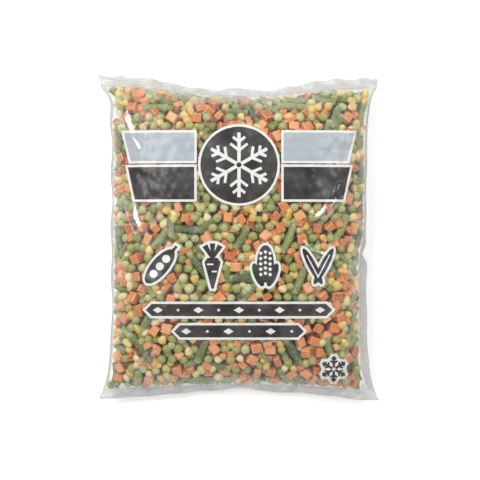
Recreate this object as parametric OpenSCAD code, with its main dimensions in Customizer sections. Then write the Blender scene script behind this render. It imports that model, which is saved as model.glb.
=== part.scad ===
// Sealed pillow bag of loose frozen mixed vegetables, lying on its back.
// Millimetres, +Z up, +Y towards the top end of the bag, origin on the table under its middle.

/* [Bag] */
// Width across an end seal, corner to corner
bag_w = 280; // [250:1:310]
// Length from the top corners to the bottom corners
bag_l = 324; // [290:1:360]
// Thickness of the filled bag at its middle
bag_t = 58; // [52:1:68]
// How far each side draws in between the corners
waist = 12.5; // [0:0.5:16]
// Width of the flat empty film along each side fold
side_flat_w = 2; // [1:0.5:6]
// Width of the flat empty film along the lower right side
wide_flat_w = 10; // [1:0.5:14]
// How far the top seal draws in at its middle
top_dip = 9; // [0:0.5:16]
// How far the bottom seal draws in at its middle
bottom_dip = 5; // [0:0.5:16]
// Height of the side folds and the end seals above the table
fold_z = 17; // [12:0.5:22]

/* [Film] */
// Thickness of the film
film_t = 0.08; // [0.05:0.01:0.2]
// Width of the weld across each end
end_seal_w = 10; // [6:0.5:14]
// How far the middle of an end seal hangs down, in degrees
seal_droop = 60; // [0:1:75]
// Number of crimp ribs along each end seal
rib_count = 4; // [2:1:6]
// Height of a crimp rib
rib_h = 0.4; // [0.1:0.05:0.8]
// Width of the lap weld down the back
lap_seal_w = 12; // [8:0.5:18]

/* [Vegetables] */
// Diameter of a pea
pea_d = 8.9; // [7:0.1:10]
// Edge of a carrot dice
carrot_edge = 9.5; // [8:0.1:11]
// Length of a sweetcorn kernel
corn_l = 8.4; // [7:0.1:10]
// Diameter of a kernel at its broad end
corn_broad_d = 8; // [6:0.1:9]
// Diameter of a kernel at its tip
corn_tip_d = 5; // [4:0.1:6]
// Length of the longest green bean cuts
bean_l = 34; // [28:0.5:38]
// Length of the shortest green bean cuts
bean_least_l = 22; // [18:0.5:28]
// Diameter of a green bean
bean_d = 9; // [7:0.1:10]
// Least size of a piece, as a share of the size above
least_size = 0.86; // [0.8:0.01:1]
// Gap between the film and the pieces that lie against it
film_gap = 0.5; // [0.2:0.05:0.6]
// Gap between neighbouring pieces
piece_gap = 0.3; // [0.2:0.05:0.6]
// Share of peas among the small pieces
pea_share = 0.47; // [0.3:0.01:0.6]
// Share of carrot dice among the small pieces
carrot_share = 0.35; // [0.2:0.01:0.4]
// Share of the blocks of sites that hold a bean
bean_share = 0.85; // [0.4:0.05:1]
// Seed of the mix
mix_seed = 12; // [1:1:99]

/* [Hidden] */
LAYERS = ["front", "upper", "middle", "lower", "back"];
KINDS = ["peas", "carrots", "corn", "beans"];
film_colour = [0.88, 0.9, 0.9, 0.35];
seal_colour = [0.8, 0.82, 0.82, 0.6];
round_fn = 32;

// The bag's outline. u runs across the filled bag and w along it, both from -1 to 1. u = -2 and
// u = 2 are the side folds, past the flat empty film, and w = 1 is the inner line of the top seal.
half_l = bag_l / 2;
waist_power = 6;
// Where along the right side the empty film starts to widen, and where it is at its widest
widen_from = bag_l * 0.06;
widen_to = -bag_l * 0.1;

// 1 at the middle of the width, falling smoothly to 0 at the corners
function mid_share(u) = (1 + cos(180 * min(1, abs(u)))) / 2;

// Rises smoothly from 0 to 1 as t goes from 0 to 1
function ease(t) = let (c = max(0, min(1, t))) c * c * (3 - 2 * c);

// Half the width of the bag at a distance along it
function half_width(y) = bag_w / 2 - waist * (1 - pow(min(1, abs(y) / half_l), waist_power));

// Half the width of the filled bag, on the side that x is on
function filled_width(x, y) =
    let (widen = x > 0 ? ease((widen_from - y) / (widen_from - widen_to)) : 0)
    half_width(y) - side_flat_w - (wide_flat_w - side_flat_w) * widen;

// Distance from the middle of the bag to the inner line of an end seal
function seal_y(u, end) = half_l - end_seal_w - (end > 0 ? top_dip : bottom_dip) * mid_share(u);

function plan_x(u, y) = abs(u) > 1 ? sign(u) * half_width(y) : u * filled_width(u, y);

function plan_point(u, w) =
    let (y = w * seal_y(u, w))
    [plan_x(u, y), y];

// The fill. Fullness is 0 at the folds and seals and 1 at the middle of the bag.
crown = bag_t - fold_z;
side_power = 4;
side_round = 0.5;
end_power = 4.5;
end_round = 0.6;
flat_gain = 1.7;
reach_share = 0.985;

function fullness(u, w) =
    pow(max(0, 1 - pow(abs(u), side_power)), side_round)
    * pow(max(0, 1 - pow(abs(w), end_power)), end_round);

// Fullness at a plan point, below 0 where a piece can't reach
function fullness_at(p) =
    let (u = p.x / filled_width(p.x, p.y), w = abs(u) < reach_share ? p.y / seal_y(u, p.y) : 1)
    abs(w) < reach_share ? fullness(u, w) : -1;

// Heights of the inner faces of the film. The back lies flat on the table where the bag is full.
front_z = function (full) fold_z + (crown - film_t) * full;
back_z = function (full) film_t + (fold_z - film_t) * pow(1 - min(1, flat_gain * full), 2);

front_in = function (p) front_z(fullness_at(p));
back_in = function (p) back_z(fullness_at(p));

// Film panels. The grid is finer towards the folds and seals, where the film curves most.
panel_cols = 26;
panel_rows = 30;
function fine_edge(i, n) = sin(180 * i / n - 90);
panel_u = [-2, for (i = [0:panel_cols]) fine_edge(i, panel_cols), 2];
panel_w = [for (j = [0:panel_rows]) fine_edge(j, panel_rows)];

// Solid between two grids of points with the same plan, upper over lower, each a list of rows
module sheet_solid(upper, lower) {
    rows = len(upper);
    cols = len(upper[0]);
    below = rows * cols;
    function at(i, j) = j * cols + i;
    edge = concat(
        [for (i = [0:cols - 1]) at(i, 0)],
        [for (j = [1:rows - 1]) at(cols - 1, j)],
        [for (i = [cols - 2:-1:0]) at(i, rows - 1)],
        [for (j = [rows - 2:-1:1]) at(0, j)]
    );
    skin = [
        for (j = [0:rows - 2]) for (i = [0:cols - 2])
            each [[at(i, j), at(i + 1, j + 1), at(i + 1, j)], [at(i, j), at(i, j + 1), at(i + 1, j + 1)]]
    ];
    rim = [
        for (k = [0:len(edge) - 1]) let (a = edge[k], b = edge[(k + 1) % len(edge)])
            each [[a, b, b + below], [a, b + below, a + below]]
    ];
    polyhedron(
        points = [for (grid = [upper, lower]) for (row = grid) each row],
        faces = concat(skin, [for (f = skin) [f[2] + below, f[1] + below, f[0] + below]], rim)
    );
}

// Grid of points over the plan at a height given by the fullness, raised by an offset
function film_grid(height, offset) = [
    for (w = panel_w) [
        for (u = panel_u) let (p = plan_point(u, w)) [p.x, p.y, height(fullness(u, w)) + offset]
    ]
];

module film_front() {
    color(film_colour)
        sheet_solid(film_grid(front_z, film_t), film_grid(front_z, 0));
}

// The whole back panel, before the lap weld parts it
module back_panel() {
    sheet_solid(film_grid(back_z, 0), film_grid(back_z, -film_t));
}

// The half of the back panel on one side of the lap weld: side is -1 for left, 1 for right
module film_back(side) {
    color(film_colour)
        intersection() {
            back_panel();
            translate([side * (bag_w + lap_seal_w) / 2, 0, bag_t / 2])
                cube([bag_w, bag_l, 2 * bag_t], center = true);
        }
}

// Double film where the two edges of the web lap, flush with the back panel outside
module back_lap_seal() {
    lap_u = lap_seal_w / 2 / filled_width(1, 0);
    strip = function (offset) [
        for (w = panel_w)
            let (y = w * seal_y(lap_u, w), z = back_z(fullness(lap_u, w)) + offset)
            [[-lap_seal_w / 2, y, z], [lap_seal_w / 2, y, z]]
    ];
    color(seal_colour)
        sheet_solid(strip(film_t), strip(-film_t));
}

// Crimped weld across one end: end is 1 for the top, -1 for the bottom. Its middle hangs down.
module end_seal(end) {
    rows = 2 * rib_count;
    band = function (offset) [
        for (j = end > 0 ? [0:rows] : [rows:-1:0]) [
            for (u = panel_u)
                let (
                    run = end_seal_w * j / rows,
                    droop = seal_droop * mid_share(u),
                    y = plan_point(u, end).y + end * run * cos(droop),
                    rib = rib_h * (j % 2)
                )
                [plan_x(u, y), y, fold_z - run * sin(droop) + rib + offset]
        ]
    ];
    color(seal_colour)
        sheet_solid(band(film_t), band(-film_t));
}

// The vegetables lie in layers that follow the film. In each layer the pieces start on a
// triangular grid of sites and shove each other apart until none overlap.
PEA = 0;
CARROT = 1;
CORN = 2;
BEAN = 3;
tallest = max(pea_d, carrot_edge, corn_broad_d, bean_d);
layer_pitch = tallest + 2 * piece_gap;
second_depth = 1.5 * layer_pitch;
carrot_r = carrot_edge * sqrt(2) / 2;
corn_r = norm([corn_l, corn_broad_d]) / 2;
mean_size = (1 + least_size) / 2;
corn_share = 1 - pea_share - carrot_share;
mean_area = PI * mean_size ^ 2 * (
    pea_share * (pea_d / 2) ^ 2 + carrot_share * carrot_r ^ 2 + corn_share * corn_r ^ 2
);

// Room round a second-layer piece, as a multiple of its own radius
inner_spread = 1.45;
// How far the corner of a bean's cut end may stand out of its round outline
corner_gap = piece_gap / 4;
// Share of a layer's plan that its pieces cover
packing = 0.74;
// Steps of shoving, how far a piece may stray meanwhile, and how much it is drawn in at the edge
settle_steps = 80;
stray = 6;
draw_in = 0.985;
// Sites along each edge of a block that may hold a bean, and the spread of a bean's angle
block = 4;
bean_loose = 20;

// The grid of sites
site_x = sqrt(mean_area / packing * 2 / sqrt(3));
site_y = site_x * sqrt(3) / 2;
site_cols = 2 * ceil(bag_w / site_x / 2) + 1;
site_rows = 2 * ceil(bag_l / site_y / 2) + 1;
sites = [for (k = [0:site_cols * site_rows - 1]) k];

// Rise over run of a film's height at a plan point
function slope(height, p) =
    let (step = 0.5)
    [
        height([p.x + step, p.y]) - height([p.x - step, p.y]),
        height([p.x, p.y + step]) - height([p.x, p.y - step])
    ] / (2 * step);

function secant(grade) = sqrt(1 + grade * grade);

// Turns a vector from level into the lean of a grade
function leaning(grade, v) =
    let (
        steep = norm(grade),
        lean = secant(grade),
        way = steep > 0 ? grade / steep : [1, 0],
        along = v.x * way.x + v.y * way.y,
        across = v.y * way.x - v.x * way.y,
        rise = v.z / lean
    )
    [
        way.x * along / lean - way.y * across - grade.x * rise,
        way.y * along / lean + way.x * across - grade.y * rise,
        steep * along / lean + rise
    ];

// Points round the face of a piece, at a height above its middle
function rim(piece, height, spread) =
    let (
        is_bean = piece[0] == BEAN,
        along = is_bean ? piece[5] / 2 + (spread - 1) * piece[1] : spread * piece[1],
        turn = is_bean ? piece[4] : piece[4] + 45
    )
    [
        for (step = [0:45:315])
            let (x = along * cos(step), y = spread * piece[1] * sin(step))
            [x * cos(turn) - y * sin(turn), x * sin(turn) + y * cos(turn), height]
    ];

// Height at which a piece lies its depth under the front film, or over the back film,
// with the points of its rim clear of that film
function under_front(piece, depth, spread) =
    let (p = piece[2], grade = slope(front_in, p))
    min([
        for (v = rim(piece, depth, spread)) let (q = leaning(grade, v)) front_in(p + [q.x, q.y]) - q.z
    ]) - film_gap * secant(grade) ^ 3;

function over_back(piece, depth, spread) =
    let (p = piece[2], grade = slope(back_in, p))
    max([
        for (v = rim(piece, -depth, spread)) let (q = leaning(grade, v)) back_in(p + [q.x, q.y]) - q.z
    ]) + film_gap * secant(grade) ^ 3;

// Height of a piece of some thickness in its layer
function piece_z(layer, piece, thick) =
    layer == 0 ? under_front(piece, thick / 2, 1)
    : layer == 1 ? under_front(piece, second_depth, inner_spread)
    : layer == 3 ? over_back(piece, second_depth, inner_spread)
    : layer == 4 ? over_back(piece, thick / 2, 1)
    : (piece_z(1, piece, thick) + piece_z(3, piece, thick)) / 2;

// Least height of a front piece's lower face above the back film
function front_spare(piece) =
    let (p = piece[2], grade = slope(front_in, p), z = piece_z(0, piece, tallest))
    min([
        for (v = rim(piece, -tallest / 2, 1))
            let (q = leaning(grade, v)) z + q.z - back_in(p + [q.x, q.y])
    ]);

// Whether a layer has room for a piece among the layers that need less height than it does.
// A layer that leans tips its pieces into the next one, so it needs more room.
function has_room(layer, piece) =
    let (
        grades = [slope(front_in, piece[2]), slope(back_in, piece[2])],
        step = layer_pitch * max(secant(grades[0]), secant(grades[1])),
        tip = 1.25 * tallest * max(norm(grades[0]), norm(grades[1])),
        z = [for (i = [0, 1, 3, 4]) piece_z(i, piece, tallest)],
        spare = [
            front_spare(piece),
            z[1] - z[3] - step - tip,
            z[1] - z[2] - 2 * step - tip,
            z[1] - z[2] - step - tip,
            z[0] - z[3] - step - tip / 2
        ]
    )
    spare[layer] >= 0;

function site_piece(k) = [CARROT, carrot_r, site_place(k), 1, 0, 2 * carrot_r];

function site_place(k) =
    let (i = k % site_cols, j = floor(k / site_cols))
    [(i - (site_cols - 1) / 2 + (j % 2 - 0.5) / 2) * site_x, (j - (site_rows - 1) / 2) * site_y];

function on_grid(i, j) = i >= 0 && i < site_cols && j >= 0 && j < site_rows;

// The six sites round a site, in order by angle from +X
function round_site(k) =
    let (i = k % site_cols, j = floor(k / site_cols), odd = j % 2)
    [
        for (n = [[i + 1, j], [i + odd, j + 1], [i - 1 + odd, j + 1],
                  [i - 1, j], [i - 1 + odd, j - 1], [i + odd, j - 1]])
            on_grid(n.x, n.y) ? n.x + n.y * site_cols : undef
    ];

// A layer's random draws, one for each site
function draws(layer, what) = rands(0, 1, len(sites), mix_seed * 100 + layer * 10 + what);

// A piece is [kind, radius, place, size, turn, length]
function small_piece(k, pick, size, turn) =
    let (
        grow = least_size + (1 - least_size) * size[k],
        kind = pick[k] < pea_share ? PEA : pick[k] < pea_share + carrot_share ? CARROT : CORN,
        radius = [pea_d / 2, carrot_r, corn_r][kind] * grow
    )
    [kind, radius, site_place(k), grow, 360 * turn[k], 2 * radius];

// A bean lies over three sites in a line
function bean_piece(k, size, turn) =
    let (way = floor(3 * turn[k]), loose = 3 * turn[k] - way - 0.5, spare = bean_l - bean_least_l)
    [BEAN, bean_d / 2, site_place(k), 1, 60 * way + bean_loose * loose, bean_least_l + spare * size[k]];

function bean_line(k, turn) =
    let (way = floor(3 * turn[k]), ring = round_site(k))
    [k, ring[way], ring[way + 3]];

// Middle sites of the beans: at most one in each block of sites
function bean_sites(layer, turn) =
    let (a = draws(layer, 1), b = draws(layer, 2), c = draws(layer, 3))
    [
        for (j = [0:block:site_rows - block]) for (i = [0:block:site_cols - block])
            let (
                k = i + j * site_cols,
                mid = i + 1 + floor(2 * b[k]) + (j + 1 + floor(2 * c[k])) * site_cols,
                short = [for (n = bean_line(mid, turn)) if (!has_room(layer, site_piece(n))) n]
            )
            if (a[k] < bean_share && len(short) == 0) mid
    ];

function start_layer(layer) =
    let (
        pick = draws(layer, 4),
        size = draws(layer, 5),
        turn = draws(layer, 6),
        beans = bean_sites(layer, turn),
        taken = [for (k = beans) each bean_line(k, turn)]
    )
    concat(
        [for (k = beans) bean_piece(k, size, turn)],
        [
            for (k = sites)
                if (len(search(k, taken)) == 0 && has_room(layer, site_piece(k)))
                    small_piece(k, pick, size, turn)
        ]
    );

function total(list, i = 0) = i < len(list) ? list[i] + total(list, i + 1) : [0, 0];

// The point of a piece's middle line that lies nearest to a point
function near_point(piece, p) =
    piece[0] != BEAN ? piece[2] :
    let (
        way = [cos(piece[4]), sin(piece[4])],
        reach = piece[5] / 2 - sqrt(corner_gap * (2 * piece[1] + corner_gap))
    )
    piece[2] + way * max(-reach, min(reach, (p - piece[2]) * way));

// The way from one piece to another, between the nearest points of their middle lines
function way_between(piece, other) =
    let (from = near_point(other, near_point(piece, other[2])))
    near_point(piece, from) - from;

// How far one piece is shoved by another that is too near
function shove(piece, other) =
    let (away = way_between(piece, other), apart = norm(away), want = piece[1] + other[1] + piece_gap)
    apart >= want || apart == 0 ? [0, 0] : away / apart * (want - apart) / 2;

function moved_to(piece, place) = [for (i = [0:5]) i == 2 ? place : piece[i]];

// One piece after a step of shoving, kept where the bag is full enough for its layer
function shoved(piece, others, least_full) =
    let (
        place = piece[2] + total([for (other = others) shove(piece, other)]),
        outer = near_point(moved_to(piece, place), 2 * place)
    )
    moved_to(piece, fullness_at(outer) < least_full ? place * draw_in : place);

function settled(pieces, near, least_full, steps) =
    steps == 0 ? pieces : settled(
        [for (i = [0:len(pieces) - 1]) shoved(pieces[i], [for (j = near[i]) pieces[j]], least_full)],
        near, least_full, steps - 1
    );

// For each piece, the others that may come to touch it
function near_lists(pieces) = [
    for (i = [0:len(pieces) - 1]) [
        for (j = [0:len(pieces) - 1])
            if (i != j && norm(pieces[i][2] - pieces[j][2]) < (pieces[i][5] + pieces[j][5]) / 2 + stray) j
    ]
];

// Whether a piece is clear of the pieces listed before it
function is_clear(pieces, i, near) =
    let (overlaps = [
        for (j = near) if (j < i && norm(way_between(pieces[i], pieces[j])) < pieces[i][1] + pieces[j][1]) j
    ])
    len(overlaps) == 0;

// The pieces of a layer. The few that found no room are left out.
function layer_pieces(layer) =
    let (
        start = start_layer(layer),
        near = near_lists(start),
        least_full = min([for (piece = start) fullness_at(piece[2])]),
        pieces = settled(start, near, least_full, settle_steps)
    )
    [
        for (i = [0:len(pieces) - 1])
            if (has_room(layer, pieces[i]) && is_clear(pieces, i, near[i])) pieces[i]
    ];

// Puts a piece at its place, leaning with the film that its layer follows
module at_place(layer, piece, thick) {
    p = piece[2];
    grade = layer < 2 ? slope(front_in, p) : layer > 2 ? slope(back_in, p) : [0, 0];
    translate([p.x, p.y, piece_z(layer, piece, thick)])
        rotate(a = atan(norm(grade)), v = norm(grade) > 0 ? [grade.y, -grade.x, 0] : [0, 0, 1])
            rotate(piece[4])
                children();
}

module pea(size) {
    sphere(d = pea_d * size, $fn = round_fn);
}

module carrot_dice(size) {
    cube(carrot_edge * size, center = true);
}

module corn_kernel(size) {
    rotate([90, 0, 0])
        cylinder(
            h = corn_l * size, d1 = corn_tip_d * size, d2 = corn_broad_d * size,
            center = true, $fn = round_fn
        );
}

module bean_cut(length) {
    rotate([0, 90, 0])
        cylinder(h = length, d = bean_d, center = true, $fn = round_fn);
}

// All the pieces of one kind in one layer
module vegetables(layer, kind) {
    thick = [pea_d, carrot_edge, corn_broad_d, bean_d][kind];
    color(["yellowgreen", "darkorange", "khaki", "olivedrab"][kind])
        for (piece = layer_pieces(layer))
            if (piece[0] == kind)
                at_place(layer, piece, thick * piece[3])
                    if (kind == PEA) pea(piece[3]);
                    else if (kind == CARROT) carrot_dice(piece[3]);
                    else if (kind == CORN) corn_kernel(piece[3]);
                    else bean_cut(piece[5]);
}

film_front();
film_back(-1);  // film_back_left
film_back(1);  // film_back_right
end_seal(1);  // top_end_seal
end_seal(-1);  // bottom_end_seal
back_lap_seal();
for (layer = [0:len(LAYERS) - 1])
    for (kind = [0:len(KINDS) - 1])
        vegetables(layer, kind);
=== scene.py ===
"""Clear pillow bag of frozen mixed vegetables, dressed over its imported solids."""

import math
import random

import bmesh
import bpy
import numpy as np
from bpy.props import FloatProperty, FloatVectorProperty, IntProperty, PointerProperty
from mathutils import Euler, Matrix, Vector
from mathutils.bvhtree import BVHTree


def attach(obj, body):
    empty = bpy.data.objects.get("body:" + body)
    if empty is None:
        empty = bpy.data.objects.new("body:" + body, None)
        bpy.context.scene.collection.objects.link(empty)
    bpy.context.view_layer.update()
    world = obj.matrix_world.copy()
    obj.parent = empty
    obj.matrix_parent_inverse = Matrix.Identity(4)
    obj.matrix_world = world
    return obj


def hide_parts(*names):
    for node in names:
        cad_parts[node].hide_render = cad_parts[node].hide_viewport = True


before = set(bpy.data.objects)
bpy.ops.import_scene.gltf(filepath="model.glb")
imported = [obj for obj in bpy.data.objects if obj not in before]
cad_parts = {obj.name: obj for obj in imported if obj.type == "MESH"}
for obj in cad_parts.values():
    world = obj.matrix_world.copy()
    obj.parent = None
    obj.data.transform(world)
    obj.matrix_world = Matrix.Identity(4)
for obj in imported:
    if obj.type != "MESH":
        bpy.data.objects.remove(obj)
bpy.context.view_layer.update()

bl_info = {
    "name": "Frozen vegetable bag",
    "version": (1, 0, 0),
    "blender": (4, 5, 0),
    "location": "View3D > Sidebar > Frozen bag",
    "description": "Makes a clear pillow bag of frozen mixed vegetables over its solids",
    "category": "Add Mesh",
}

MM = 0.001
LAYERS = ("front", "upper", "middle", "lower", "back")


# Settings

def linear(code):
    """Linear RGBA of an sRGB hex colour."""
    parts = [int(code[i:i + 2], 16) / 255 for i in (1, 3, 5)]
    return tuple(c / 12.92 if c <= 0.04045 else ((c + 0.055) / 1.055) ** 2.4 for c in parts) + (1.0,)


def size(name, description, millimetres):
    return FloatProperty(name=name, description=description, default=millimetres * MM, unit="LENGTH")


def colour(name, description, code):
    return FloatVectorProperty(
        name=name, description=description, default=linear(code), size=4, min=0, max=1, subtype="COLOR"
    )


def share(name, description, default):
    return FloatProperty(
        name=name, description=description, default=default, min=0, max=1, subtype="FACTOR"
    )


def count(name, description, default):
    return IntProperty(name=name, description=description, default=default)


def power(name, description, watts):
    return FloatProperty(name=name, description=description, default=watts, unit="POWER")


def strength(name, description, default):
    return FloatProperty(name=name, description=description, default=default)


class BagSizes(bpy.types.PropertyGroup):
    """Sizes of the bag, which keep to its solids within a few millimetres"""
    width: size("Width", "Width across an end seal, corner to corner", 280)
    length: size("Length", "Length from the top corners to the bottom corners", 324)
    thick: size("Thickness", "Thickness of the filled bag at its middle", 58)
    waist: size("Waist", "How far each side draws in between the corners", 12.5)
    side_flat: size("Side flat", "Width of the flat empty film along each side fold", 2)
    wide_flat: size("Wide side flat", "Width of the flat empty film along the lower right side", 7.5)
    pinch: size("Pinch", "How far the left side draws in below the top corner", 3)
    top_dip: size("Top dip", "How far the top seal draws in at its middle", 9)
    top_tilt: size("Top tilt", "How much lower the right end of the top seal lies", 2)
    bottom_dip: size("Bottom dip", "How far the bottom seal draws in at its middle", 5)
    fold_height: size("Fold height", "Height of the side folds and end seals above the table", 17)
    gauge: size("Film gauge", "Thickness of the film", 0.08)
    end_seal: size("End seal", "Width of the weld across each end", 10)
    droop: FloatProperty(
        name="Seal droop", description="How far the middle of an end seal hangs down",
        default=math.radians(60), subtype="ANGLE"
    )
    ribs: count("Crimp ribs", "Number of crimp ribs along each end seal", 4)
    rib_height: size("Rib height", "Height of a crimp rib", 0.4)
    lap_seal: size("Lap seal", "Width of the lap weld down the back", 12)


class FilmForm(bpy.types.PropertyGroup):
    """How the film lies over the vegetables"""
    columns: count("Columns", "Faces across a film panel", 196)
    rows: count("Rows", "Faces along a film panel", 232)
    sag: size("Sag", "How far the film is drawn in between two points of its grid", 0.03)
    clearance: size("Clearance", "Gap between the film and a piece that it lies on", 0.3)
    reach: size("Reach", "Furthest that the film sinks where there is no piece under it", 5)
    pleat: size("Pleat height", "Height of the pleats by the seals and folds", 1.5)
    edge_wave: size("Edge wave", "Rise and fall of the folds and seals", 1.6)
    edge_wander: size("Edge wander", "How uneven the side folds are", 0.8)
    notch: size("Notch", "Depth of the dent in the right side", 4.5)
    corner_grip: size("Corner grip", "How much wider the stiff top weld holds the film beside it", 2.4)


class FilmLook(bpy.types.PropertyGroup):
    """Finish of the film"""
    veil: colour("Veil", "Colour of the film's milky haze", "#c9cac7")
    weld: colour("Weld", "Colour of the haze of welded film", "#c3c4c1")
    least_haze: share("Least haze", "Haze of the clearest film", 0.0)
    most_haze: share("Most haze", "Haze of the cloudiest film", 0.03)
    gap_haze: share("Gap haze", "Haze added where the film stands off the pieces", 0.015)
    wisp_haze: share("Wisp haze", "Haze added in milky wisps by the end welds", 0.2)
    flat_haze: share("Flat haze", "Haze added where two films lie flat on each other", 0.26)
    weld_haze: share("Weld haze", "Haze added where the film is welded", 0.45)
    edge_haze: share("Edge haze", "Haze added along a cut edge or fold", 0.12)
    sheen: share("Sheen roughness", "Roughness of the film", 0.36)
    glint: share("Glint roughness", "Roughness of the film where it is creased", 0.17)


class FoodColours(bpy.types.PropertyGroup):
    """Colours of the vegetables"""
    pea_dark: colour("Pea, dark", "Darkest pea skin", "#5f6224")
    pea_fresh: colour("Pea, fresh", "Brightest pea skin", "#9ba646")
    pea_mid: colour("Pea, middle", "Usual pea skin", "#a9a556")
    pea_pale: colour("Pea, pale", "Palest pea skin", "#ced296")
    carrot_deep: colour("Carrot, deep", "Deepest carrot", "#b95616")
    carrot_mid: colour("Carrot, middle", "Usual carrot", "#e5873a")
    carrot_pale: colour("Carrot, pale", "Palest carrot, near the core", "#f3b274")
    carrot_frost: colour("Carrot edge", "Frosted edge of a carrot dice", "#f2c39a")
    corn_deep: colour("Corn, deep", "Deepest kernel", "#d9a840")
    corn_mid: colour("Corn, middle", "Usual kernel", "#edd078")
    corn_tip: colour("Corn tip", "Pale tip of a kernel", "#f1e3b8")
    bean_dark: colour("Bean, dark", "Darkest bean skin", "#3a4a1b")
    bean_mid: colour("Bean, middle", "Usual bean skin", "#727f38")
    bean_pale: colour("Bean, pale", "Palest bean skin", "#a0a85e")
    bean_core: colour("Bean core", "Cut end of a bean", "#b9c288")
    rime: colour("Rime", "Frost on the pieces", "#e4e6de")


class FillForm(bpy.types.PropertyGroup):
    """How more pieces are fitted in between those of the solids"""
    step: size("Step", "Step of the grid on which room is sought", 2)
    film_room: size("Film room", "Room left between the film and a piece that is fitted in", 0.3)
    least_room: size("Least room", "Least clear radius that takes one more piece", 2.9)
    most_room: size("Largest fill", "Radius of the largest piece that is fitted in", 4.7)
    bean_tries: share("Bean tries", "Share of the pieces that are beans where a bean has room", 0.6)
    bean_throws: count("Bean throws", "How many places under the front film are tried for a bean", 6000)
    beans_laid: count("Beans laid", "Most beans that are laid along under the front film", 44)
    bean_room: size("Bean room", "Least clear distance along a bean that is laid under the film", 1.3)
    press: size("Press", "How much closer the pieces next to the film are pressed together", 0.7)
    overlap: size("Overlap", "How far a piece that is fitted in may press into its neighbours", 0.6)


class PrintForm(bpy.types.PropertyGroup):
    """Sizes and inks of the print"""
    black: colour("Black ink", "Black ink", "#2b2725")
    blue: colour("Blue ink", "Blue-grey ink", "#aab4b9")
    white: colour("White ink", "White ink", "#e6e7e3")
    outline: size("Outline", "Width of the white outline round each shape", 2.4)
    roundel: size("Roundel", "Radius of the roundel", 38)
    roundel_y: size("Roundel place", "Height of the roundel above the middle of the bag", 72)
    band_reach: size("Band reach", "Distance of a band's far end from the middle", 114)
    icon: size("Icon", "Height of an icon", 42)
    icons_y: size("Icon place", "Height of the icons above the middle of the bag", -28)


class StageForm(bpy.types.PropertyGroup):
    """Floor, lamps and camera"""
    floor: colour("Floor", "Colour of the floor", "#f2f2f2")
    key_power: power("Key power", "Power of the key lamp", 8.5)
    right_power: power("Right power", "Power of the right lamp", 6)
    left_power: power("Left power", "Power of the left lamp", 6)
    front_power: power("Front power", "Power of the front lamp", 2)
    sky: strength("Sky", "Strength of the even light from the sides", 0.56)
    zenith: strength("Zenith", "Strength of the even light from straight above", 0.22)
    glow: strength("Floor glow", "Light of its own that keeps the floor white", 0.4)
    distance: size("Camera distance", "Distance of the camera above the table", 2500)
    view_width: size("View width", "Width that the camera sees at the film's fold height", 480)


class BagSettings(bpy.types.PropertyGroup):
    """All the settings of the bag"""
    bag: PointerProperty(type=BagSizes)
    film: PointerProperty(type=FilmForm)
    look: PointerProperty(type=FilmLook)
    food: PointerProperty(type=FoodColours)
    fill: PointerProperty(type=FillForm)
    inks: PointerProperty(type=PrintForm)
    stage: PointerProperty(type=StageForm)


# Materials

def new_material(name):
    """Material without nodes, and its node tree."""
    material = bpy.data.materials.new(name)
    material.use_nodes = True
    material.node_tree.nodes.clear()
    return material, material.node_tree


def add_node(tree, kind, output=None, inputs=None, stops=None, **settings):
    """Adds a node, sets or links its inputs and gives one output. Stops are those of a colour ramp."""
    node = tree.nodes.new("ShaderNode" + kind)
    for name, value in settings.items():
        setattr(node, name, value)
    for name, value in (inputs or {}).items():
        if isinstance(value, bpy.types.NodeSocket):
            tree.links.new(value, node.inputs[name])
        else:
            node.inputs[name].default_value = value
    if stops:
        ramp = node.color_ramp
        while len(ramp.elements) < len(stops):
            ramp.elements.new(0.5)
        for element, (place, shade) in zip(ramp.elements, stops):
            element.position = place
            element.color = tuple(shade)
    return None if output is None else node.outputs[output]


def rimed(tree, place, skin, rime, frost):
    """Colour of a skin with a share of frost on it."""
    # Real frost is finer than this. Its specks are drawn as coarse as they need to be to show.
    speck = add_node(tree, "TexNoise", "Fac", {
        "Vector": place, "Scale": 1 / (1.3 * MM), "Detail": 3, "Roughness": 0.6
    })
    cover = add_node(tree, "MapRange", "Result", {
        "Value": speck, "From Min": 0.52, "From Max": 0.74, "To Min": 0, "To Max": frost
    })
    return add_node(tree, "Mix", 2, {0: cover, 6: skin, 7: tuple(rime)}, data_type="RGBA")


# Weight of the grain beside a piece's own tone, and the ends of the range that their sum spans
GRAIN_SHARE = 1.1
DARKEST, PALEST = 0.44, 1.56


def food_material(name, stops, cut_stops, grain, rime, frost, roughness, bump):
    """A frozen vegetable: its tone differs from piece to piece and, by its grain, over each piece."""
    material, tree = new_material(name)
    place = add_node(tree, "TexCoord", "Object")
    tone = add_node(tree, "Attribute", "Fac", attribute_name="tone")
    cut = add_node(tree, "Attribute", "Fac", attribute_name="cut")
    patch = add_node(tree, "TexNoise", "Fac", {
        "Vector": place, "Scale": 1 / grain, "Detail": 3, "Roughness": 0.55
    })
    mixed = add_node(tree, "Math", 0, {0: patch, 1: GRAIN_SHARE, 2: tone}, operation="MULTIPLY_ADD")
    level = add_node(tree, "MapRange", "Result", {
        "Value": mixed, "From Min": DARKEST, "From Max": PALEST
    })
    skin = add_node(tree, "ValToRGB", "Color", {"Fac": level}, stops)
    if cut_stops:
        flesh = add_node(tree, "ValToRGB", "Color", {"Fac": cut}, cut_stops)
        skin = add_node(tree, "Mix", 2, {0: cut, 6: skin, 7: flesh}, data_type="RGBA")
    wrinkle = add_node(tree, "TexNoise", "Fac", {"Vector": place, "Scale": 1 / (1.8 * MM), "Detail": 2})
    relief = add_node(tree, "Bump", "Normal", {"Height": wrinkle, "Strength": bump, "Distance": 0.5 * MM})
    shader = add_node(tree, "BsdfPrincipled", "BSDF", {
        "Base Color": rimed(tree, place, skin, rime, frost), "Roughness": roughness, "Normal": relief
    })
    add_node(tree, "OutputMaterial", inputs={"Surface": shader})
    return material


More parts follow.
